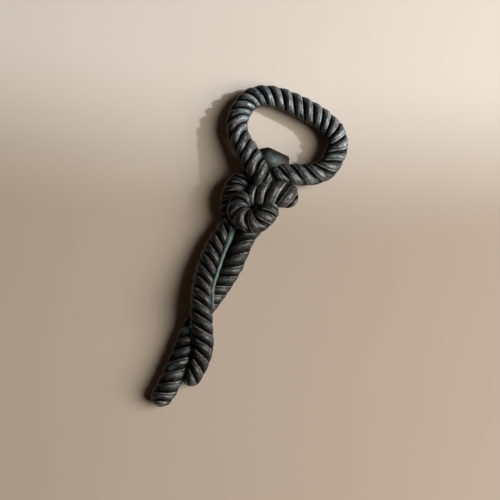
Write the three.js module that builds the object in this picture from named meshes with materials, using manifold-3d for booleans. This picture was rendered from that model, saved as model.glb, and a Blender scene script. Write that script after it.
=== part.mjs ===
// Souvenir bottle opener, cast in bronze in the form of a knotted rope.
// Units are millimetres and +Z is up: the opener lies on its back.
// +X is across the opener and +Y runs from the handle to the head.
import * as THREE from 'three';
import { mergeVertices } from 'three/addons/utils/BufferGeometryUtils.js';
import Module from 'manifold-3d';

const wasm = await Module();
wasm.setup();

// Driving dimensions of the rope.
const ROPE_RADIUS = 4.8;
const GROOVE_SHARE = 0.2;            // depth of the grooves, as a share of the radius
const STRAND_ROUNDNESS = 0.7;        // under 1 is a full strand with a narrow groove
const POINTS_AROUND = 16;            // about how many points there are round a section
const RING_SPACING = 1.5;
const END_ANGLES = [18, 42, 66].map(THREE.MathUtils.degToRad);
const Z_LAY = 1;
const S_LAY = -1;
const GAP = 0.45;                    // clearance between two runs that lie on each other

// The pry lip is a flat plate at mid height between the two legs of the loop.
const LIP_BOTTOM = 6.4;
const LIP_THICKNESS = 3;
const LIP_OUTLINE = [
  [-5, 26.8],
  [-8.5, 24.2],
  [-9.4, 21.3],
  [-6.9, 17.2],
  [2.1, 16],
  [8.5, 20],
  [5.8, 24.8],
  [5.1, 26.8],
];

// Routes of the rope runs: [x, y, z, radius], from the eye of the knot.
const HEAD_LOOP_ROUTE = [
  [-3.2, 13.2, 11.2, 4.6],
  [-5.2, 14.9, 11.0, 5.0],
  [-8.1, 17.4, 10.2, 5.2],
  [-12.1, 20.8, 9.0, 5.0],
  [-16.3, 23.7, 7.8, ROPE_RADIUS],
  [-20.0, 27.0, 7.0, ROPE_RADIUS],
  [-22.7, 31.5, 6.4, ROPE_RADIUS],
  [-23.7, 37.5, 5.8, ROPE_RADIUS],
  [-22.5, 43.7, 5.4, ROPE_RADIUS],
  [-18.3, 48.0, 5.1, ROPE_RADIUS],
  [-11.7, 50.3, 4.9, ROPE_RADIUS],
  [-3.3, 50.7, 5.0, 5.0],
  [4.8, 50.4, 5.0, 5.0],
  [12.0, 49.2, 5.0, ROPE_RADIUS],
  [17.9, 46.3, 5.2, ROPE_RADIUS],
  [21.5, 41.2, 5.6, ROPE_RADIUS],
  [22.1, 35.5, 6.1, ROPE_RADIUS],
  [21.5, 29.8, 6.7, ROPE_RADIUS],
  [18.1, 25.3, 7.3, ROPE_RADIUS],
  [13.6, 22.4, 7.8, ROPE_RADIUS],
  [8.8, 20.2, 8.0, 4.6],
  [4.8, 18.6, 7.7, 4.0],
];
const SIDE_BIGHT_ROUTE = [
  [-0.6, 4.4, 10.8, 4.6],
  [2.8, 6.4, 11.6, 5.3],
  [7.1, 8.5, 11.8, 5.7],
  [11.4, 10.0, 11.2, 5.6],
  [16.2, 11.6, 8.6, 5.1],
];
const FRONT_TURN_ROUTE = [
  [7.9, 2.1, 11.4, 4.5],
  [6.8, -3.2, 12.5, 5.0],
  [4.8, -6.4, 12.6, 5.2],
  [1.5, -7.7, 12.6, 5.2],
  [-1.9, -7.1, 12.5, 5.1],
  [-4.2, -4.7, 12.3, 5.1],
  [-4.7, -1.6, 11.9, ROPE_RADIUS],
  [-3.6, 0.9, 11.2, 4.3],
];
const LEFT_TURN_ROUTE = [
  [-6.7, -9.5, 6.0, 4.1],
  [-8.1, -5.8, 6.6, 4.4],
  [-9.4, -1.9, 7.4, ROPE_RADIUS],
  [-10.1, 2.2, 7.8, ROPE_RADIUS],
  [-9.8, 6.3, 7.6, ROPE_RADIUS],
  [-7.9, 10.1, 6.8, 4.5],
  [-4.9, 12.7, 5.6, 4.4],
];
const BACK_TURN_ROUTE = [
  [9.5, 11.4, 4.0, 4.2],
  [6.2, 10.0, 4.0, ROPE_RADIUS],
  [1.7, 7.5, 4.0, ROPE_RADIUS],
  [-1.7, 3.5, 4.0, ROPE_RADIUS],
  [-3.3, -1.7, 4.0, 4.6],
  [-2.8, -7.6, 4.0, 4.4],
];
const SHORT_TAIL_ROUTE = [
  [-5.0, -8.0, 5.2, 3.9],
  [-5.5, -11.7, 5.9, 4.2],
  [-6.0, -16.0, 6.3, 4.4],
  [-6.3, -21.9, 6.4, ROPE_RADIUS],
  [-5.9, -28.9, 6.8, ROPE_RADIUS],
  [-4.9, -36.0, 7.6, ROPE_RADIUS],
  [-2.5, -43.6, 9.0, ROPE_RADIUS],
  [0.3, -49.9, 10.0, ROPE_RADIUS],
  [4.4, -57.5, 9.4, ROPE_RADIUS],
  [7.2, -62.7, 7.6, ROPE_RADIUS],
  [8.9, -68.5, 5.8, 4.6],
  [9.3, -74.5, 5.0, 4.2],
  [9.1, -81.0, 4.4, 3.7],
];
const LONG_TAIL_ROUTE = [
  [5.1, -1.6, 4.3, 4.1],
  [4.0, -6.7, 4.7, 4.5],
  [3.0, -12.6, 5.3, 4.5],
  [3.2, -19.9, 5.5, 4.6],
  [3.5, -27.8, 5.4, 4.6],
  [2.9, -35.1, 5.2, 4.6],
  [1.8, -42.4, 4.8, 4.6],
  [0.5, -50.3, 4.9, 4.6],
  [0.1, -57.5, 5.0, 4.6],
  [0.5, -64.3, 5.0, 4.6],
  [1.2, -71.5, 5.0, 4.6],
  [1.8, -79.1, 5.0, ROPE_RADIUS],
  [1.9, -85.7, 4.9, ROPE_RADIUS],
  [0.9, -94.2, 4.7, 4.4],
];

// The runs of the rope, the uppermost first. The pitch is the distance from one strand to the
// next along the run, and a run under 1 in flatness is lower than wide.
const RUNS = {
  head_loop: { route: HEAD_LOOP_ROUTE, lay: Z_LAY, strands: 3, pitch: 5.1, flatness: 1 },
  side_bight: { route: SIDE_BIGHT_ROUTE, lay: S_LAY, strands: 2, pitch: 5.4, flatness: 0.9 },
  front_turn: { route: FRONT_TURN_ROUTE, lay: Z_LAY, strands: 2, pitch: 4.6, flatness: 0.85 },
  back_turn: { route: BACK_TURN_ROUTE, lay: Z_LAY, strands: 3, pitch: 5, flatness: 0.8 },
  left_turn: { route: LEFT_TURN_ROUTE, lay: Z_LAY, strands: 3, pitch: 3.6, flatness: 1 },
  short_tail: { route: SHORT_TAIL_ROUTE, lay: S_LAY, strands: 3, pitch: 5, flatness: 1 },
  long_tail: { route: LONG_TAIL_ROUTE, lay: Z_LAY, strands: 3, pitch: 5.3, flatness: 1 },
};
const LIES_UNDER = {
  head_loop: [],
  side_bight: ['head_loop'],
  front_turn: ['head_loop', 'side_bight'],
  back_turn: ['side_bight', 'front_turn'],
  left_turn: ['head_loop', 'front_turn', 'back_turn'],
  short_tail: ['front_turn', 'back_turn', 'left_turn'],
  long_tail: ['front_turn', 'back_turn', 'left_turn', 'short_tail'],
  pry_lip: ['head_loop', 'side_bight', 'back_turn'],
};

// One section of the rope: round strands side by side with a groove between each two.
function ropeSection(strands, grooveShare) {
  const perStrand = Math.round(POINTS_AROUND / strands);
  const count = strands * perStrand;
  const points = [];
  for (let i = 0; i < count; i += 1) {
    const across = (i % perStrand) / perStrand;
    const fullness = Math.sin(Math.PI * across) ** STRAND_ROUNDNESS;
    const radius = 1 - grooveShare * (1 - fullness);
    const angle = (2 * Math.PI * i) / count;
    points.push(new THREE.Vector2(radius * Math.cos(angle), radius * Math.sin(angle)));
  }
  return new THREE.Shape(points);
}

// Where the rings of a run lie along it, with the rings that round off its two ends.
function ringStations(length, startRadius, endRadius) {
  const start = END_ANGLES.map((a) => ({
    at: startRadius * (1 - Math.cos(a)),
    scale: Math.sin(a),
    ahead: -Math.cos(a),
  }));
  const end = END_ANGLES.map((a) => ({
    at: length - endRadius * (1 - Math.cos(a)),
    scale: Math.sin(a),
    ahead: Math.cos(a),
  })).reverse();
  const straight = length - startRadius - endRadius;
  const count = Math.max(1, Math.round(straight / RING_SPACING));
  const middle = [];
  for (let i = 0; i <= count; i += 1) {
    middle.push({ at: startRadius + (straight * i) / count, scale: 1, ahead: 0 });
  }
  return [...start, ...middle, ...end];
}

function routeCurve(route) {
  const centre = route.map(([x, y, z]) => new THREE.Vector3(x, y, z));
  return new THREE.CatmullRomCurve3(centre, false, 'centripetal');
}

function radiusAlong(route, t) {
  const place = t * (route.length - 1);
  const before = Math.min(Math.floor(place), route.length - 2);
  return THREE.MathUtils.lerp(route[before][3], route[before + 1][3], place - before);
}

// An S lay is the mirror image of a Z lay, so its triangles are turned round again.
function facingOut(geometry) {
  const position = geometry.attributes.position;
  const second = new THREE.Vector3();
  const third = new THREE.Vector3();
  for (let i = 0; i < position.count; i += 3) {
    second.fromBufferAttribute(position, i + 1);
    third.fromBufferAttribute(position, i + 2);
    position.setXYZ(i + 1, third.x, third.y, third.z);
    position.setXYZ(i + 2, second.x, second.y, second.z);
  }
  return geometry;
}

// A twisted rope along a route: a straight extrusion of the section whose rings are then
// turned, scaled and carried along the route.
function rope(run, extra = 0, grooveShare = GROOVE_SHARE) {
  const { route, lay, strands, pitch, flatness } = run;
  const curve = routeCurve(route);
  const length = curve.getLength();
  const rings = ringStations(length, route[0][3], route[route.length - 1][3]);
  const steps = rings.length - 1;
  const bar = new THREE.ExtrudeGeometry(
    ropeSection(strands, grooveShare),
    { depth: steps, steps, bevelEnabled: false },
  );
  const frames = rings.map(({ at, scale, ahead }) => {
    const t = curve.getUtoTmapping(at / length);
    const along = curve.getTangent(t);
    const side = new THREE.Vector3(-along.y, along.x, 0).normalize();
    const up = new THREE.Vector3().crossVectors(along, side);
    const turn = (2 * Math.PI * at) / (strands * pitch);
    const radius = (radiusAlong(route, t) + extra) * scale;
    const centre = curve.getPoint(t).addScaledVector(along, ahead * extra);
    return { centre, side, up, turn, radius };
  });
  const position = bar.attributes.position;
  const point = new THREE.Vector3();
  for (let i = 0; i < position.count; i += 1) {
    point.fromBufferAttribute(position, i);
    const { centre, side, up, turn, radius } = frames[Math.round(point.z)];
    const angle = Math.atan2(point.y, point.x) + turn;
    const reach = Math.hypot(point.x, point.y) * radius;
    point.copy(centre)
      .addScaledVector(side, lay * reach * Math.cos(angle))
      .addScaledVector(up, flatness * reach * Math.sin(angle));
    position.setXYZ(i, point.x, point.y, point.z);
  }
  return lay === S_LAY ? facingOut(bar) : bar;
}

// The plain round body that stays clear of a run all round it.
function clearanceOf(run) {
  return rope({ ...run, lay: Z_LAY }, GAP, 0);
}

function lipPlate() {
  const corners = LIP_OUTLINE.map(([x, y]) => new THREE.Vector2(x, y));
  const outline = new THREE.Shape(corners);
  const plate = new THREE.ExtrudeGeometry(outline, { depth: LIP_THICKNESS, bevelEnabled: false });
  return plate.translate(0, 0, LIP_BOTTOM);
}

function solidOf(geometry) {
  const bare = geometry.clone();
  bare.deleteAttribute('normal');
  bare.deleteAttribute('uv');
  const merged = mergeVertices(bare);
  const mesh = new wasm.Mesh({
    numProp: 3,
    vertProperties: merged.attributes.position.array,
    triVerts: merged.index.array,
  });
  return new wasm.Manifold(mesh);
}

function geometryOf(solid) {
  const { vertProperties, triVerts } = solid.getMesh();
  const geometry = new THREE.BufferGeometry();
  geometry.setAttribute('position', new THREE.BufferAttribute(vertProperties, 3));
  geometry.setIndex(new THREE.BufferAttribute(triVerts, 1));
  return geometry;
}

// A run or the lip, cut back from the runs that it lies under.
function cutUnder(geometry, names) {
  const cut = names.reduce(
    (rest, name) => rest.subtract(solidOf(clearanceOf(RUNS[name]))),
    solidOf(geometry),
  );
  return geometryOf(cut);
}

const PATINA = { color: 0x2c2824, roughness: 0.45, metalness: 0.8 };
const LIP_PATINA = { color: 0x3d4845, roughness: 0.6, metalness: 0.5 };

function namedMesh(name, geometry, look) {
  const shape = cutUnder(geometry, LIES_UNDER[name]);
  const mesh = new THREE.Mesh(shape, new THREE.MeshStandardMaterial(look));
  mesh.name = name;
  return mesh;
}

const group = new THREE.Group();
for (const [name, run] of Object.entries(RUNS)) {
  group.add(namedMesh(name, rope(run), PATINA));
}
group.add(namedMesh('pry_lip', lipPlate(), LIP_PATINA));

// The origin is under the middle of the opener, on the surface that it lies on.
const bounds = new THREE.Box3().setFromObject(group);
const middle = bounds.getCenter(new THREE.Vector3());
group.position.set(-middle.x, -middle.y, -bounds.min.z);

export default group;
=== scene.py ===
"""Souvenir bottle opener: a cast bronze knotted rope with a pry lip, lying on a pale floor."""
import math

import bmesh
import bpy
import numpy as np
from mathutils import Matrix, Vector


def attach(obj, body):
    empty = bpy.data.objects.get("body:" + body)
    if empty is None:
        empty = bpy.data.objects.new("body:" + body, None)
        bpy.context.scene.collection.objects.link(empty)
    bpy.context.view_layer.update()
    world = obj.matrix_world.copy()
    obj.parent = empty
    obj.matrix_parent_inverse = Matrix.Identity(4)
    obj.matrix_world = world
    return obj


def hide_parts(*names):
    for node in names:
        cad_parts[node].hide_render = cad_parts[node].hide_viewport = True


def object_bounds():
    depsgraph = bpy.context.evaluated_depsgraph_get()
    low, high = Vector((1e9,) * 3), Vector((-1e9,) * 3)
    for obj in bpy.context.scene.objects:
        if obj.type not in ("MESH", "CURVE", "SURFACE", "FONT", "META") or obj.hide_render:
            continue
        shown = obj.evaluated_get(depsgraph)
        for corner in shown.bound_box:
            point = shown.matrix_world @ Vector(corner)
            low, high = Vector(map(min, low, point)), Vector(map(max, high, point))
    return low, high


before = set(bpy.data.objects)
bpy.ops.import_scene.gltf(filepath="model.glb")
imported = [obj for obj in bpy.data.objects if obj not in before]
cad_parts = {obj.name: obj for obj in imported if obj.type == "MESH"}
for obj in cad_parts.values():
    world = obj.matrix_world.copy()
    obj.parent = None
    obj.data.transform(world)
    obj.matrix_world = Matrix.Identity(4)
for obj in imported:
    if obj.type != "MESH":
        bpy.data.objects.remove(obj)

CAD_BOX = [list(corner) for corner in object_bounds()]
MM = 0.001

# ---------------------------------------------------------------- driving dimensions, mm
ROPE_RADIUS = 4.8
POINTS_AROUND = 120
RING_SPACING = 0.24
Z_LAY = 1
S_LAY = -1
MELD = 0.05              # how much fatter a run is than its CAD solid, so that runs melt together

# Routes of the rope runs, [x, y, z, radius] from the eye of the knot. The CAD part has the same
# ones, but there head_loop, side_bight and front_turn stop a little sooner inside the knot.
# Scratch programs worked out the routes and LIP_OUTLINE from places marked on the photo.
HEAD_LOOP_ROUTE = [
    [2.7, 8.1, 8.6, 4.1],
    [-0.5, 10.8, 10.4, ROPE_RADIUS],
    [-4.2, 14.1, 11.2, 5.1],
    [-8.1, 17.4, 10.2, 5.2],
    [-12.1, 20.8, 9.0, 5.0],
    [-16.3, 23.7, 7.8, ROPE_RADIUS],
    [-20.0, 27.0, 7.0, ROPE_RADIUS],
    [-22.7, 31.5, 6.4, ROPE_RADIUS],
    [-23.7, 37.5, 5.8, ROPE_RADIUS],
    [-22.5, 43.7, 5.4, ROPE_RADIUS],
    [-18.3, 48.0, 5.1, ROPE_RADIUS],
    [-11.7, 50.3, 4.9, ROPE_RADIUS],
    [-3.3, 50.7, 5.0, 5.0],
    [4.8, 50.4, 5.0, 5.0],
    [12.0, 49.2, 5.0, ROPE_RADIUS],
    [17.9, 46.3, 5.2, ROPE_RADIUS],
    [21.5, 41.2, 5.6, ROPE_RADIUS],
    [22.1, 35.5, 6.1, ROPE_RADIUS],
    [21.5, 29.8, 6.7, ROPE_RADIUS],
    [18.1, 25.3, 7.3, ROPE_RADIUS],
    [13.6, 22.4, 7.8, ROPE_RADIUS],
    [8.8, 20.2, 8.0, 4.6],
    [4.5, 18.5, 7.8, 4.1],
    [0.5, 16.7, 7.2, 3.2],
]
SIDE_BIGHT_ROUTE = [
    [-4.1, 1.8, 9.2, 3.9],
    [-1.2, 3.9, 10.6, ROPE_RADIUS],
    [2.8, 6.4, 11.6, 5.3],
    [7.1, 8.5, 11.8, 5.7],
    [11.4, 10.0, 11.2, 5.6],
    [16.2, 11.6, 8.6, 5.1],
]
FRONT_TURN_ROUTE = [
    [8.5, 4.4, 9.6, 4.1],
    [7.7, 0.9, 11.6, 4.6],
    [6.8, -3.2, 12.5, 5.0],
    [4.8, -6.4, 12.6, 5.2],
    [1.5, -7.7, 12.6, 5.2],
    [-1.9, -7.1, 12.5, 5.1],
    [-4.2, -4.7, 12.3, 5.1],
    [-4.7, -1.6, 11.9, ROPE_RADIUS],
    [-3.2, 0.5, 11.3, 4.1],
    [-0.8, 1.7, 10.6, 3.5],
]
LEFT_TURN_ROUTE = [
    [-6.7, -9.5, 6.0, 4.1],
    [-8.1, -5.8, 6.6, 4.4],
    [-9.4, -1.9, 7.4, ROPE_RADIUS],
    [-10.1, 2.2, 7.8, ROPE_RADIUS],
    [-9.8, 6.3, 7.6, ROPE_RADIUS],
    [-7.9, 10.1, 6.8, 4.5],
    [-4.9, 12.7, 5.6, 4.4],
]
BACK_TURN_ROUTE = [
    [9.5, 11.4, 4.0, 4.2],
    [6.2, 10.0, 4.0, ROPE_RADIUS],
    [1.7, 7.5, 4.0, ROPE_RADIUS],
    [-1.7, 3.5, 4.0, ROPE_RADIUS],
    [-3.3, -1.7, 4.0, 4.6],
    [-2.8, -7.6, 4.0, 4.4],
]
SHORT_TAIL_ROUTE = [
    [-5.0, -8.0, 5.2, 3.9],
    [-5.5, -11.7, 5.9, 4.2],
    [-6.0, -16.0, 6.3, 4.4],
    [-6.3, -21.9, 6.4, ROPE_RADIUS],
    [-5.9, -28.9, 6.8, ROPE_RADIUS],
    [-4.9, -36.0, 7.6, ROPE_RADIUS],
    [-2.5, -43.6, 9.0, ROPE_RADIUS],
    [0.3, -49.9, 10.0, ROPE_RADIUS],
    [4.4, -57.5, 9.4, ROPE_RADIUS],
    [7.2, -62.7, 7.6, ROPE_RADIUS],
    [8.9, -68.5, 5.8, 4.6],
    [9.3, -74.5, 5.0, 4.2],
    [9.1, -81.0, 4.4, 3.7],
]
LONG_TAIL_ROUTE = [
    [5.1, -1.6, 4.3, 4.1],
    [4.0, -6.7, 4.7, 4.5],
    [3.0, -12.6, 5.3, 4.5],
    [3.2, -19.9, 5.5, 4.6],
    [3.5, -27.8, 5.4, 4.6],
    [2.9, -35.1, 5.2, 4.6],
    [1.8, -42.4, 4.8, 4.6],
    [0.5, -50.3, 4.9, 4.6],
    [0.1, -57.5, 5.0, 4.6],
    [0.5, -64.3, 5.0, 4.6],
    [1.2, -71.5, 5.0, 4.6],
    [1.8, -79.1, 5.0, ROPE_RADIUS],
    [1.9, -85.7, 4.9, ROPE_RADIUS],
    [0.9, -94.2, 4.7, 4.4],
]

# Route of the metal that fills the valley between the tails. This table, BURRS and
# GREEN_PATCHES are rounded from what a scratch program worked out in the same way.
TAIL_SEAM_ROUTE = [
    [-3.0, -12.5, 8.0, 1.1],
    [-2.5, -17.0, 9.0, 1.4],
    [-2.0, -21.0, 9.0, 1.2],
    [-1.5, -26.0, 9.0, 1.0],
    [-0.5, -32.0, 9.2, 0.85],
    [1.0, -40.0, 9.2, 0.75],
    [4.0, -46.5, 8.5, 0.7],
]
# Burrs and nicks of the casting, [x, y, z, width, height].
BURRS = [
    [19.0, 52.0, 6.0, 1.0, 1.0],
    [8.0, -25.0, 6.0, 0.5, 0.4],
    [8.0, -26.5, 6.0, 0.6, 0.4],
    [7.0, -40.0, 5.5, 0.6, 0.4],
    [6.5, -42.5, 5.5, 0.5, 0.4],
    [7.5, -52.5, 8.5, 0.5, 0.4],
    [12.5, -63.0, 6.5, 0.6, 0.4],
]
# Patches of verdigris, [x, y, width, strength].
GREEN_PATCHES = [
    [0.5, -78.0, 2.0, 0.8],
    [4.5, -80.5, 2.5, 1.0],
    [-2.0, -59.5, 2.5, 0.8],
    [-2.5, -17.5, 2.0, 1.0],
    [-4.0, -11.5, 1.5, 0.8],
]

# One entry for each run: its route, lay, number of strands, flatness (under 1 is lower than wide),
# how much wear it has, how pale the later and the earlier edge of each strand are (these pale edges
# are partly wear and partly a painted highlight, paler on the edge that faces the lamps), the share
# of its wear that it has at its start (under 1 is painted shade where the run starts inside the
# knot), how far along it the first groove crosses its top, and then the pitch of the strands,
# stretch by stretch, as (how many strands, pitch). The pitches were fitted to groove places that a
# scratch program had worked out.
RUNS = {
    "head_loop": dict(
        route=HEAD_LOOP_ROUTE, lay=Z_LAY, strands=3, flatness=1, wear=1, edges=(1, 0.35),
        shaded_start_wear=0.2, first_groove=4.5,
        pitches=[(6, 5.6), (4, 4), (5, 5), (3, 4.5), (4, 5), (4, 5.6)]),
    "side_bight": dict(
        route=SIDE_BIGHT_ROUTE, lay=S_LAY, strands=2, flatness=0.9, wear=0.7, edges=(1, 0.6),
        shaded_start_wear=0.4, first_groove=1.5, pitches=[(2, 4.2), (2, 6)]),
    "front_turn": dict(
        route=FRONT_TURN_ROUTE, lay=Z_LAY, strands=2, flatness=0.85, wear=0.35, edges=(1, 0.6),
        shaded_start_wear=1, first_groove=0.5, pitches=[(2, 3), (5, 5)]),
    "back_turn": dict(
        route=BACK_TURN_ROUTE, lay=Z_LAY, strands=3, flatness=0.8, wear=0.2, edges=(0.5, 0.5),
        shaded_start_wear=1, first_groove=0, pitches=[(4, 5)]),
    "left_turn": dict(
        route=LEFT_TURN_ROUTE, lay=Z_LAY, strands=3, flatness=1, wear=0.3, edges=(0.4, 1),
        shaded_start_wear=1, first_groove=1.2, pitches=[(6, 3.5)]),
    "short_tail": dict(
        route=SHORT_TAIL_ROUTE, lay=S_LAY, strands=3, flatness=1, wear=0.34, edges=(0.1, 1),
        shaded_start_wear=1, first_groove=1.2, pitches=[(15, 5)]),
    "long_tail": dict(
        route=LONG_TAIL_ROUTE, lay=Z_LAY, strands=3, flatness=1, wear=0.4, edges=(0.1, 1),
        shaded_start_wear=1, first_groove=2,
        pitches=[(4, 6.1), (3, 4.6), (9, 5.2), (1, 4)]),
}
GROOVE_SHARE = 0.46      # depth of the grooves, as a share of the radius
SIDE_GROOVES = 0.12      # how deep the grooves are at a run's sides, as a share of those on top
EDGE_PLACE = 0.2         # where the pale edges of a strand lie, partly wear and partly a painted highlight, as a share of its width
EDGE_WIDTH = 0.04
STRAND_ROUNDING = 1.8    # higher is a strand with a flatter top
STRAND_FULLNESS = 0.85   # under 1 is a fuller strand with a narrower groove
EXTRA_STRANDS = 9        # strands that carry on past the first and the last groove
PITCH_SMOOTHING = 1.5    # how far each way along a run the turn of the strands is averaged
PITCH_SAMPLES = 13
TURN_WOBBLE = 0.08       # radians
TURN_WAVELENGTH = 6.0
DEPTH_WOBBLE = 0.18      # as a share of the depth of the grooves
DEPTH_WAVELENGTH = 5.0
END_STEP = 6             # degrees between the rings that round off an end
LIT_SIDE_MEAN = 0.65         # painted highlight and shade: the pale wear is made stronger on the sides that face right, toward the lamps, and weaker on those that face left
LIT_SIDE_LEAN = 1.05
LIT_SIDE_MOST = 1.5
WEAR_FROM = 0.1          # wear starts at this height up a round section, as a share of its radius,
WEAR_OVER = 0.6          # and is whole this much higher
FADE_LENGTH = 15.0       # the length over which a run's wear grows from its shaded_start_wear to all of it; a start under 1 is painted shade inside the knot
YARNS = 5
YARN_HEIGHT = 0.05
YARN_DRIFT = 9.0         # the length over which the yarns wander across a strand by one yarn
SEAM_POINTS_AROUND = 24
SEAM_WOBBLE = 0.16       # as a share of the seam's radius
SEAM_WAVELENGTH = 2.2
SEAM_SHARES = dict(crest=0.9, edge=0, wear_and_painted_light=0.6, crevice=1.5)
CREVICE_GREEN = 0.8      # how green a crevice between two runs is at most
CREVICE_REACH = 1.6      # green fades with this distance from the other run
FIRST_SEED = 100
SEED_STEP = 20
DEPTH_SEED = 10
SEAM_SEED = 71

# The eye of the knot in the row frame: the head's far rim is this far from it along +Y. Both
# values were read off the built CAD part.
EYE_TO_RIM = 55.641
EYE_X = 0.811
EYE = Vector((EYE_X, CAD_BOX[1][1] / MM - EYE_TO_RIM, 0.0))


# ---------------------------------------------------------------- curves
def catmull_rom(points, per_segment=48):
    """Dense points of the centripetal Catmull-Rom curve through points, with their radius."""
    p = np.asarray(points, float)
    p = np.vstack([2 * p[0] - p[1], p, 2 * p[-1] - p[-2]])
    out = []
    for i in range(1, len(p) - 2):
        a, b, c, d = p[i - 1 : i + 3]
        gaps = [math.sqrt(np.linalg.norm((v - u)[:3])) for u, v in ((a, b), (b, c), (c, d))]
        first = ((b - a) / gaps[0] - (c - a) / (gaps[0] + gaps[1]) + (c - b) / gaps[1]) * gaps[1]
        last = ((c - b) / gaps[1] - (d - b) / (gaps[1] + gaps[2]) + (d - c) / gaps[2]) * gaps[1]
        t = np.linspace(0, 1, per_segment, endpoint=False)[:, None]
        out.append(
            b
            + first * t
            + (-3 * b + 3 * c - 2 * first - last) * t**2
            + (2 * b - 2 * c + first + last) * t**3
        )
    out.append(p[-2][None])
    return np.vstack(out)


def even_rings(route):
    """(distances along the run, centres, radii) at an even spacing, closer near its ends."""
    dense = catmull_rom(route)
    steps = np.linalg.norm(np.diff(dense[:, :3], axis=0), axis=1)
    along = np.concatenate([[0], np.cumsum(steps)])
    length = along[-1]
    end_angles = np.radians(np.arange(END_STEP, 90, END_STEP))
    r0, r1 = route[0][3], route[-1][3]
    start = r0 * (1 - np.cos(end_angles))
    end = length - (r1 * (1 - np.cos(end_angles)))[::-1]
    count = int((length - r0 - r1) / RING_SPACING)
    middle = np.linspace(r0, length - r1, count)
    at = np.concatenate([start, middle, end])
    scale = np.concatenate([np.sin(end_angles), np.ones(count), np.sin(end_angles)[::-1]])
    rings = np.stack([np.interp(at, along, dense[:, k]) for k in range(4)], axis=1)
    return at, rings[:, :3], rings[:, 3], scale


def smooth_noise(at, wavelength, seed):
    """Seeded noise along a run, from -1 to 1, that changes over about one wavelength."""
    rng = np.random.default_rng(seed)
    knots = rng.uniform(-1, 1, int(at.max() / wavelength) + 4)
    x = at / wavelength
    i = x.astype(int)
    f = x - i
    f = f * f * (3 - 2 * f)
    return knots[i] * (1 - f) + knots[i + 1] * f


# ---------------------------------------------------------------- meshes
def new_piece(name, vertices, faces, material, node):
    """A smooth mesh that rides on root and replaces the CAD node."""
    mesh = bpy.data.meshes.new(name)
    mesh.from_pydata(vertices, [], faces)
    mesh.validate()
    mesh.polygons.foreach_set("use_smooth", [True] * len(mesh.polygons))
    piece = bpy.data.objects.new(name, mesh)
    bpy.context.scene.collection.objects.link(piece)
    mesh.materials.append(material)
    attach(piece, "root")
    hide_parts(node)
    return piece


def groove_places(run):
    """The distances along a run at which a groove crosses its top."""
    places = [run["first_groove"]]
    for count, pitch in run["pitches"]:
        for _ in range(count):
            places.append(places[-1] + pitch)
    return places


def strand_turn(run, at):
    """The turn of the strands at each distance along a run, so that its grooves cross its top
    where the run says."""
    grooves = groove_places(run)
    count = len(grooves)
    first_gap = grooves[1] - grooves[0]
    last_gap = grooves[-1] - grooves[-2]
    before = grooves[0] - EXTRA_STRANDS * first_gap
    after = grooves[-1] + EXTRA_STRANDS * last_gap
    places = [before] + grooves + [after]
    numbers = [-EXTRA_STRANDS] + list(range(count)) + [count - 1 + EXTRA_STRANDS]
    spread = np.linspace(-PITCH_SMOOTHING, PITCH_SMOOTHING, PITCH_SAMPLES)
    number = np.mean([np.interp(at + shift, places, numbers) for shift in spread], axis=0)
    return math.pi / 2 + 2 * math.pi * number / run["strands"]


def ring_frames(route):
    """Even rings along a route: distance, centre, radius, scale, and the side and up directions."""
    at, centre, radius, scale = even_rings(route)
    tangent = np.gradient(centre, at, axis=0)
    tangent /= np.linalg.norm(tangent, axis=1, keepdims=True)
    side = np.stack([-tangent[:, 1], tangent[:, 0], np.zeros(len(at))], axis=1)
    side /= np.linalg.norm(side, axis=1, keepdims=True)
    return at, centre, radius, scale, side, np.cross(tangent, side)


def ring_points(centre, side, up, sideways, upward):
    """Points round each centre, so far along its side and up directions."""
    return (
        centre[:, None, :]
        + sideways[:, :, None] * side[:, None, :]
        + upward[:, :, None] * up[:, None, :]
    )


def skin(points, centre):
    """(vertices, faces) of the closed skin over rings of points, with a fan over each end."""
    rings, around = points.shape[:2]
    grid = np.arange(rings * around).reshape(rings, around)
    a = grid[:-1]
    b = np.roll(grid, -1, axis=1)[:-1]
    c = np.roll(grid, -1, axis=1)[1:]
    d = grid[1:]
    quads = np.stack([a, b, c, d], axis=2).reshape(-1, 4)
    first, last = rings * around, rings * around + 1
    vertices = np.vstack([points.reshape(-1, 3), centre[0], centre[-1]])
    start_fan = [(first, int(q), int(p)) for p, q in zip(grid[0], np.roll(grid[0], -1))]
    end_fan = [(last, int(p), int(q)) for p, q in zip(grid[-1], np.roll(grid[-1], -1))]
    return vertices, quads.tolist() + start_fan + end_fan


def with_burrs(points, centre):
    """Ring points pushed outward at the casting's burrs and nicks."""
    outward = points - centre[:, None, :]
    outward /= np.maximum(np.linalg.norm(outward, axis=2, keepdims=True), 1e-6)
    for x, y, z, width, height in BURRS:
        distance = np.linalg.norm(points - np.array([x, y, z]), axis=2)
        points = points + (height * np.exp(-((distance / width) ** 2)))[:, :, None] * outward
    return points


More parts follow.
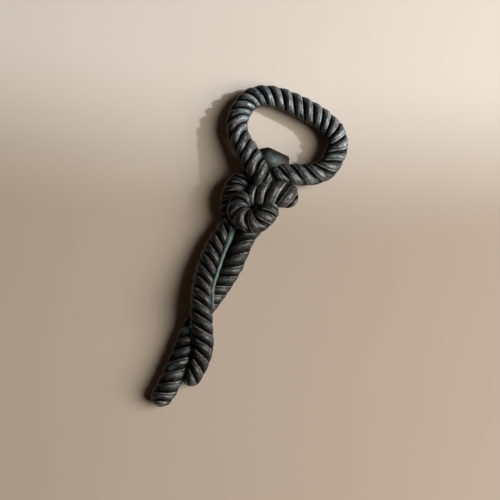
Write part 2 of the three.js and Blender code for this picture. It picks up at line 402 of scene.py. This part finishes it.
def rope_surface(run, seed):
    """(vertices, faces, shares) of a twisted rope with rounded ends. The shares are crest, from 0
    in a groove to 1 on top of a strand, edge, 1 along the pale edges of a strand, which are partly
    wear and partly a painted highlight, and wear_and_painted_light, from 0 on the rope's lower half
    to 1 along its top: wear, made stronger on the sides that face right as a painted highlight, and
    weaker on those that face left and at the start of some runs as painted shade."""
    at, centre, radius, scale, side, up = ring_frames(run["route"])
    strands = run["strands"]
    around = POINTS_AROUND
    per_strand = around // strands
    column = np.arange(around)
    across = (column % per_strand) / per_strand
    strand = column // per_strand
    turn = strand_turn(run, at) + TURN_WOBBLE * smooth_noise(at, TURN_WAVELENGTH, seed)
    angle = 2 * math.pi * column[None, :] / around + turn[:, None]
    round_top = np.clip(1 - np.abs(2 * across - 1) ** STRAND_ROUNDING, 0, 1) ** STRAND_FULLNESS
    later = np.exp(-(((across - EDGE_PLACE) / EDGE_WIDTH) ** 2))
    earlier = np.exp(-(((1 - across - EDGE_PLACE) / EDGE_WIDTH) ** 2))
    edge = np.maximum(later * run["edges"][0], earlier * run["edges"][1])
    wobbles = [smooth_noise(at, DEPTH_WAVELENGTH, seed + DEPTH_SEED + k) for k in range(strands)]
    depth = GROOVE_SHARE * (1 + DEPTH_WOBBLE * np.stack(wobbles, axis=1)[:, strand])
    yarn = np.cos(2 * math.pi * (YARNS * across[None, :] + at[:, None] / YARN_DRIFT))
    raised = np.clip(np.sin(angle), 0, 1)
    depth = depth * (SIDE_GROOVES + (1 - SIDE_GROOVES) * raised)
    body = (radius + MELD)[:, None] * (1 - depth * (1 - round_top[None, :]))
    reach = scale[:, None] * (body + YARN_HEIGHT * yarn * round_top[None, :])
    sideways = run["lay"] * (reach * np.cos(angle))
    upward = run["flatness"] * (reach * np.sin(angle))
    points = ring_points(centre, side, up, sideways, upward)
    vertices, faces = skin(with_burrs(points, centre), centre)
    if run["lay"] == S_LAY:
        faces = [face[::-1] for face in faces]
    rings = len(at)
    crest = np.concatenate([np.tile(round_top, rings), [1, 1]])
    edges = np.concatenate([np.tile(edge, rings), [0, 0]])
    rightward = run["lay"] * np.cos(angle) * side[:, 0, None]
    wear_and_painted_light = run["wear"] * np.clip((np.sin(angle) - WEAR_FROM) / WEAR_OVER, 0, 1)
    # Painted highlight and shade: the pale wear leans toward the sides that face right, which the
    # lamps light, and drops away on those that face left.
    wear_and_painted_light = wear_and_painted_light * np.clip(LIT_SIDE_MEAN + LIT_SIDE_LEAN * rightward, 0, LIT_SIDE_MOST)
    # Painted shade: runs with a shaded_start_wear under 1 are kept darker where they start inside the
    # knot.
    wear_and_painted_light = wear_and_painted_light * np.interp(at, [0, FADE_LENGTH], [run["shaded_start_wear"], 1])[:, None]
    wear_and_painted_light = np.concatenate([wear_and_painted_light.ravel(), [0, 0]])
    return vertices, faces, {"crest": crest, "edge": edges, "wear_and_painted_light": wear_and_painted_light}


def seam_surface():
    """(vertices, faces) of the metal that fills the valley between the two tails."""
    at, centre, radius, scale, side, up = ring_frames(TAIL_SEAM_ROUTE)
    angle = np.linspace(0, 2 * math.pi, SEAM_POINTS_AROUND, endpoint=False)[None, :]
    wobble = SEAM_WOBBLE * smooth_noise(at, SEAM_WAVELENGTH, SEAM_SEED)
    reach = (scale * radius * (1 + wobble))[:, None]
    points = ring_points(centre, side, up, reach * np.cos(angle), reach * np.sin(angle))
    return skin(points, centre)


def crevice_share(vertices, name):
    """How green each vertex of a run is: most where it meets another run and in the patches."""
    nearest = np.full(len(vertices), 1e9)
    for other, run in RUNS.items():
        if other == name:
            continue
        line = catmull_rom(run["route"], 8)
        for point in line:
            gap = np.linalg.norm(vertices - point[:3], axis=1) - point[3]
            np.minimum(nearest, gap, out=nearest)
    share = np.clip(CREVICE_GREEN - nearest / CREVICE_REACH, 0, CREVICE_GREEN)
    for x, y, width, strength in GREEN_PATCHES:
        distance = np.hypot(vertices[:, 0] - x, vertices[:, 1] - y)
        share = np.maximum(share, strength * np.exp(-((distance / width) ** 2)))
    return share


def store_share(piece, name, values):
    """Store one value for each vertex, for the materials to read."""
    attribute = piece.data.attributes.new(name, "FLOAT", "POINT")
    attribute.data.foreach_set("value", np.asarray(values, np.float32))


def in_frame(vertices):
    """Vertices from the knot's frame in mm to the row frame in metres, none under the floor."""
    placed = (vertices + np.array(EYE)) * MM
    placed[:, 2] = np.maximum(placed[:, 2], 0)
    return placed


def make_rope(name, material):
    run = RUNS[name]
    seed = FIRST_SEED + SEED_STEP * list(RUNS).index(name)
    vertices, faces, shares = rope_surface(run, seed)
    piece = new_piece(name + "_cast", in_frame(vertices), faces, material, name)
    for share, values in shares.items():
        store_share(piece, share, values)
    store_share(piece, "crevice", crevice_share(vertices, name))


def make_seam(material):
    vertices, faces = seam_surface()
    piece = new_piece(
        "tail_seam_cast", in_frame(vertices), faces, material, "short_tail")
    for share, value in SEAM_SHARES.items():
        store_share(piece, share, np.full(len(vertices), value))


# ---------------------------------------------------------------- the pry lip
LIP_BOTTOM = 6.4
LIP_THICKNESS = 3.0
LIP_BEVEL = 0.45
LIP_BEVEL_SEGMENTS = 3
LIP_PATCH = (-1.9, 23.2, 9.4)    # the middle of a patch of verdigris on the lip's top
LIP_OUTLINE = [
    (-5.0, 26.8), (-8.5, 24.2), (-9.4, 21.3), (-6.9, 17.2), (2.1, 16.0),
    (8.5, 20.0), (5.8, 24.8), (5.1, 26.8),
]


def make_lip(material):
    shape = bmesh.new()
    low = [shape.verts.new((x, y, LIP_BOTTOM)) for x, y in LIP_OUTLINE]
    face = shape.faces.new(low)
    raised = bmesh.ops.extrude_face_region(shape, geom=[face])
    top = [v for v in raised["geom"] if isinstance(v, bmesh.types.BMVert)]
    bmesh.ops.translate(shape, verts=top, vec=(0, 0, LIP_THICKNESS))
    bmesh.ops.recalc_face_normals(shape, faces=shape.faces)
    bmesh.ops.bevel(
        shape, geom=shape.edges[:], offset=LIP_BEVEL, segments=LIP_BEVEL_SEGMENTS, affect="EDGES")
    vertices = np.array([v.co[:] for v in shape.verts])
    shape.verts.index_update()
    faces = [[v.index for v in f.verts] for f in shape.faces]
    shape.free()
    new_piece(
        "pry_lip_cast", in_frame(vertices), faces, material, "pry_lip")


# ---------------------------------------------------------------- materials
DARK_PATINA = [
    (0.32, (0.0016, 0.0013, 0.0013)),
    (0.52, (0.0040, 0.0037, 0.0037)),
    (0.68, (0.0130, 0.0125, 0.0125)),
]
# Pale crests where the patina has come off; their mask also paints highlight and shade by which side
# faces the lamps.
RUBBED_METAL = [
    (0.38, (0.450, 0.475, 0.500)),
    (0.60, (0.410, 0.530, 0.575)),
]
# Pale strand edges: partly bare metal where the patina has come off, partly a painted highlight.
EDGE_METAL_AND_HIGHLIGHT = (0.68, 0.74, 0.76)
VERDIGRIS = (0.13, 0.235, 0.215)
VERDIGRIS_STRENGTH = 0.75
LIP_PATINA = [
    (0.36, (0.018, 0.014, 0.011)),
    (0.52, (0.034, 0.034, 0.032)),
    (0.66, (0.070, 0.085, 0.080)),
]
LIP_VERDIGRIS = (0.17, 0.27, 0.28)
LIP_PATCH_REACH = 0.0035         # m from its middle to where the patch ends,
LIP_PATCH_CORE = 0.0008          # and to where it is whole
PAPER = [
    (0.3, (0.645, 0.59, 0.52)),
    (0.7, (0.665, 0.61, 0.54)),
]


def node_material(name):
    material = bpy.data.materials.new(name)
    material.use_nodes = True
    nodes = material.node_tree.nodes
    nodes.clear()
    output = nodes.new("ShaderNodeOutputMaterial")
    shader = nodes.new("ShaderNodeBsdfPrincipled")
    material.node_tree.links.new(shader.outputs[0], output.inputs[0])
    return material, nodes, material.node_tree.links, shader


def noise_node(nodes, links, coordinates, scale, detail, roughness):
    noise = nodes.new("ShaderNodeTexNoise")
    noise.inputs["Scale"].default_value = scale
    noise.inputs["Detail"].default_value = detail
    noise.inputs["Roughness"].default_value = roughness
    links.new(coordinates, noise.inputs["Vector"])
    return noise.outputs["Fac"]


def ramp_node(nodes, links, source, stops):
    ramp = nodes.new("ShaderNodeValToRGB")
    while len(ramp.color_ramp.elements) < len(stops):
        ramp.color_ramp.elements.new(0.5)
    for element, (place, colour) in zip(ramp.color_ramp.elements, stops):
        element.position = place
        element.color = (*colour, 1)
    links.new(source, ramp.inputs["Fac"])
    return ramp.outputs["Color"]


def range_node(nodes, links, source, low, high, to_low=0.0, to_high=1.0):
    node = nodes.new("ShaderNodeMapRange")
    node.inputs["From Min"].default_value = low
    node.inputs["From Max"].default_value = high
    node.inputs["To Min"].default_value = to_low
    node.inputs["To Max"].default_value = to_high
    links.new(source, node.inputs["Value"])
    return node.outputs["Result"]


def mix_node(nodes, links, share, first, second):
    node = nodes.new("ShaderNodeMix")
    node.data_type = "RGBA"
    links.new(share, node.inputs["Factor"])
    for socket, value in ((node.inputs["A"], first), (node.inputs["B"], second)):
        if isinstance(value, tuple):
            socket.default_value = (*value, 1)
        else:
            links.new(value, socket)
    return node.outputs["Result"]


def math_node(nodes, links, operation, first, second):
    node = nodes.new("ShaderNodeMath")
    node.operation = operation
    for socket, value in zip(node.inputs, (first, second)):
        if isinstance(value, (int, float)):
            socket.default_value = value
        else:
            links.new(value, socket)
    return node.outputs[0]


def product_node(nodes, links, first, second):
    return math_node(nodes, links, "MULTIPLY", first, second)


def bump_node(nodes, links, height, strength, distance):
    bump = nodes.new("ShaderNodeBump")
    bump.inputs["Strength"].default_value = strength
    bump.inputs["Distance"].default_value = distance
    links.new(height, bump.inputs["Height"])
    return bump.outputs["Normal"]


def share_node(nodes, name):
    node = nodes.new("ShaderNodeAttribute")
    node.attribute_name = name
    return node.outputs["Fac"]


def patina_material():
    """Near-black patina, pale where it has come off the crests and edges, with a painted highlight on
    the sides that face the lamps and painted shade on the others, and green in the crevices.
    """
    material, nodes, links, shader = node_material("patinated_bronze")
    coordinates = nodes.new("ShaderNodeTexCoord").outputs["Object"]
    wear_and_painted_light = share_node(nodes, "wear_and_painted_light")
    crevice = share_node(nodes, "crevice")
    mottle = noise_node(nodes, links, coordinates, scale=260, detail=6, roughness=0.7)
    rub = noise_node(nodes, links, coordinates, scale=150, detail=6, roughness=0.75)
    pitting = noise_node(nodes, links, coordinates, scale=1000, detail=3, roughness=0.6)
    tint = noise_node(nodes, links, coordinates, scale=95, detail=3, roughness=0.6)
    bloom = noise_node(nodes, links, coordinates, scale=160, detail=4, roughness=0.6)
    grain = noise_node(nodes, links, coordinates, scale=1300, detail=4, roughness=0.7)
    pits = range_node(nodes, links, pitting, 0.40, 0.52, 0.35, 1.0)

    crest = range_node(nodes, links, share_node(nodes, "crest"), 0.7, 1.0)
    # The pale crests carry the painted highlight and shade of wear_and_painted_light as well as real
    # wear.
    crest_wear_and_light = product_node(nodes, links, crest, wear_and_painted_light)
    crest_wear_and_light = product_node(nodes, links, crest_wear_and_light, range_node(nodes, links, rub, 0.34, 0.62, 0.15, 0.9))
    crest_wear_and_light = product_node(nodes, links, crest_wear_and_light, pits)

    # Pale strand edges: partly wear, partly a painted highlight on the edge that faces the lamps.
    edge_breakup = range_node(nodes, links, rub, 0.34, 0.56, 0.3, 1.0)
    edges = product_node(nodes, links, share_node(nodes, "edge"), edge_breakup)
    edges = product_node(nodes, links, edges, math_node(nodes, links, "POWER", wear_and_painted_light, 0.4))
    edges = product_node(nodes, links, edges, pits)

    # A crevice share over 1 is green all over, whatever the noise.
    green = product_node(nodes, links, crevice, range_node(nodes, links, bloom, 0.50, 0.66))
    solid_green = math_node(nodes, links, "SUBTRACT", crevice, 1)
    green = math_node(nodes, links, "MAXIMUM", green, solid_green)
    green = product_node(nodes, links, green, VERDIGRIS_STRENGTH)

    base = ramp_node(nodes, links, mottle, DARK_PATINA)
    pale = ramp_node(nodes, links, tint, RUBBED_METAL)
    colour = mix_node(nodes, links, crest_wear_and_light, base, pale)
    colour = mix_node(nodes, links, edges, colour, EDGE_METAL_AND_HIGHLIGHT)
    colour = mix_node(nodes, links, green, colour, VERDIGRIS)
    links.new(colour, shader.inputs["Base Color"])
    shader.inputs["Metallic"].default_value = 0.1
    shader.inputs["Specular IOR Level"].default_value = 0.36
    links.new(range_node(nodes, links, rub, 0.3, 0.7, 0.28, 0.44), shader.inputs["Roughness"])
    links.new(bump_node(nodes, links, grain, 0.6, 0.0001), shader.inputs["Normal"])
    return material


def lip_material():
    """Matt dark patina with a thin bloom of verdigris and one patch of it."""
    material, nodes, links, shader = node_material("verdigris_bronze")
    coordinates = nodes.new("ShaderNodeTexCoord").outputs["Object"]
    bloom = noise_node(nodes, links, coordinates, scale=230, detail=5, roughness=0.6)
    grain = noise_node(nodes, links, coordinates, scale=900, detail=5, roughness=0.7)
    away = nodes.new("ShaderNodeVectorMath")
    away.operation = "DISTANCE"
    links.new(coordinates, away.inputs[0])
    away.inputs[1].default_value = (EYE + Vector(LIP_PATCH)) * MM
    patch = range_node(nodes, links, away.outputs["Value"], LIP_PATCH_REACH, LIP_PATCH_CORE)
    patch = product_node(nodes, links, patch, range_node(nodes, links, bloom, 0.35, 0.6, 0.2, 1.0))
    colour = ramp_node(nodes, links, bloom, LIP_PATINA)
    colour = mix_node(nodes, links, patch, colour, LIP_VERDIGRIS)
    links.new(colour, shader.inputs["Base Color"])
    shader.inputs["Metallic"].default_value = 0.35
    links.new(range_node(nodes, links, bloom, 0.3, 0.7, 0.42, 0.68), shader.inputs["Roughness"])
    links.new(bump_node(nodes, links, grain, 0.5, 0.00015), shader.inputs["Normal"])
    return material


def floor_material():
    material, nodes, links, shader = node_material("pale_paper_floor")
    coordinates = nodes.new("ShaderNodeTexCoord").outputs["Object"]
    tone = noise_node(nodes, links, coordinates, scale=9, detail=3, roughness=0.5)
    links.new(ramp_node(nodes, links, tone, PAPER), shader.inputs["Base Color"])
    shader.inputs["Roughness"].default_value = 0.85
    return material


# ---------------------------------------------------------------- the set
AZIMUTH = math.radians(26)
ELEVATION = math.radians(78)
LENS = 80.0
SENSOR = 36.0
NEAR_CLIP = 0.01
VIEW_WIDTH = 0.2150              # m across the picture at the point looked at
LOOK_RIGHT = 7.5                 # that point, from the eye of the knot and the floor, mm
LOOK_DOWN = 17.4
LOOK_HEIGHT = 6.0
LOOK_AT = Vector((EYE.x + LOOK_RIGHT, EYE.y - LOOK_DOWN, LOOK_HEIGHT)) * MM
FLOOR_REACH = 3.0
ROOM_COLOUR = (1.0, 0.62, 0.36, 1)
ROOM_STRENGTH = 0.026


def back_vector(azimuth, elevation):
    """The unit vector from the point looked at to the camera."""
    return Vector((
        math.sin(azimuth) * math.cos(elevation),
        -math.cos(azimuth) * math.cos(elevation),
        math.sin(elevation),
    ))


def make_camera():
    camera = bpy.data.objects.new("camera", bpy.data.cameras.new("camera"))
    camera.data.lens = LENS
    camera.data.sensor_width = SENSOR
    camera.data.clip_start = NEAR_CLIP
    back = back_vector(AZIMUTH, ELEVATION)
    camera.location = LOOK_AT + back * (VIEW_WIDTH * LENS / SENSOR)
    camera.rotation_euler = back.to_track_quat("Z", "Y").to_euler()
    bpy.context.scene.collection.objects.link(camera)
    bpy.context.scene.camera = camera


def make_floor():
    corners = [(x * FLOOR_REACH, y * FLOOR_REACH, 0) for x, y in ((-1, -1), (1, -1), (1, 1), (-1, 1))]
    mesh = bpy.data.meshes.new("floor")
    mesh.from_pydata(corners, [], [(0, 1, 2, 3)])
    mesh.materials.append(floor_material())
    floor = bpy.data.objects.new("floor", mesh)
    bpy.context.scene.collection.objects.link(floor)


def picture_direction(right, upward, height):
    """A unit vector given by its parts to the picture's right, up the picture and up off the floor."""
    across = Vector((math.cos(AZIMUTH), math.sin(AZIMUTH), 0))
    along = Vector((-math.sin(AZIMUTH), math.cos(AZIMUTH), 0))
    return (across * right + along * upward + Vector((0, 0, height))).normalized()


def place_light(data, target, direction, distance, power, colour):
    """Put a light so far from its target, facing it."""
    data.energy = power
    data.color = colour
    light = bpy.data.objects.new(data.name, data)
    light.location = target + direction * distance
    light.rotation_euler = direction.to_track_quat("Z", "Y").to_euler()
    bpy.context.scene.collection.objects.link(light)


def on_floor(right, upward):
    """The floor point that lies so far to the picture's right of and above its middle, in mm."""
    point = picture_direction(right, upward, 0) * math.hypot(right, upward) * MM
    return Vector((LOOK_AT.x + point.x, LOOK_AT.y + point.y, 0))


def make_room_light():
    world = bpy.data.worlds.new("studio")
    bpy.context.scene.world = world
    world.use_nodes = True
    background = world.node_tree.nodes["Background"]
    background.inputs["Color"].default_value = ROOM_COLOUR
    background.inputs["Strength"].default_value = ROOM_STRENGTH


def make_window_light():
    """The soft warm light from the right."""
    data = bpy.data.lights.new("window", "AREA")
    data.shape = "DISK"
    data.size = 1.1
    direction = picture_direction(1.0, -0.2, 0.86)
    place_light(data, LOOK_AT, direction, distance=1.3, power=20.4, colour=(1.0, 0.88, 0.77))


def make_sun_light():
    """The cool light that falls on the top of the picture."""
    data = bpy.data.lights.new("window_sun", "SPOT")
    data.spot_size = math.radians(22)
    data.spot_blend = 0.14
    data.shadow_soft_size = 0.035
    direction = picture_direction(1.0, -0.2, 0.74)
    target = on_floor(95, 338)
    place_light(data, target, direction, distance=1.6, power=105, colour=(0.82, 0.90, 1.0))


def main():
    bpy.context.scene.view_settings.view_transform = "Standard"
    make_camera()
    make_floor()
    make_room_light()
    make_window_light()
    make_sun_light()
    patina = patina_material()
    for name in RUNS:
        make_rope(name, patina)
    make_seam(patina)
    make_lip(lip_material())


main()
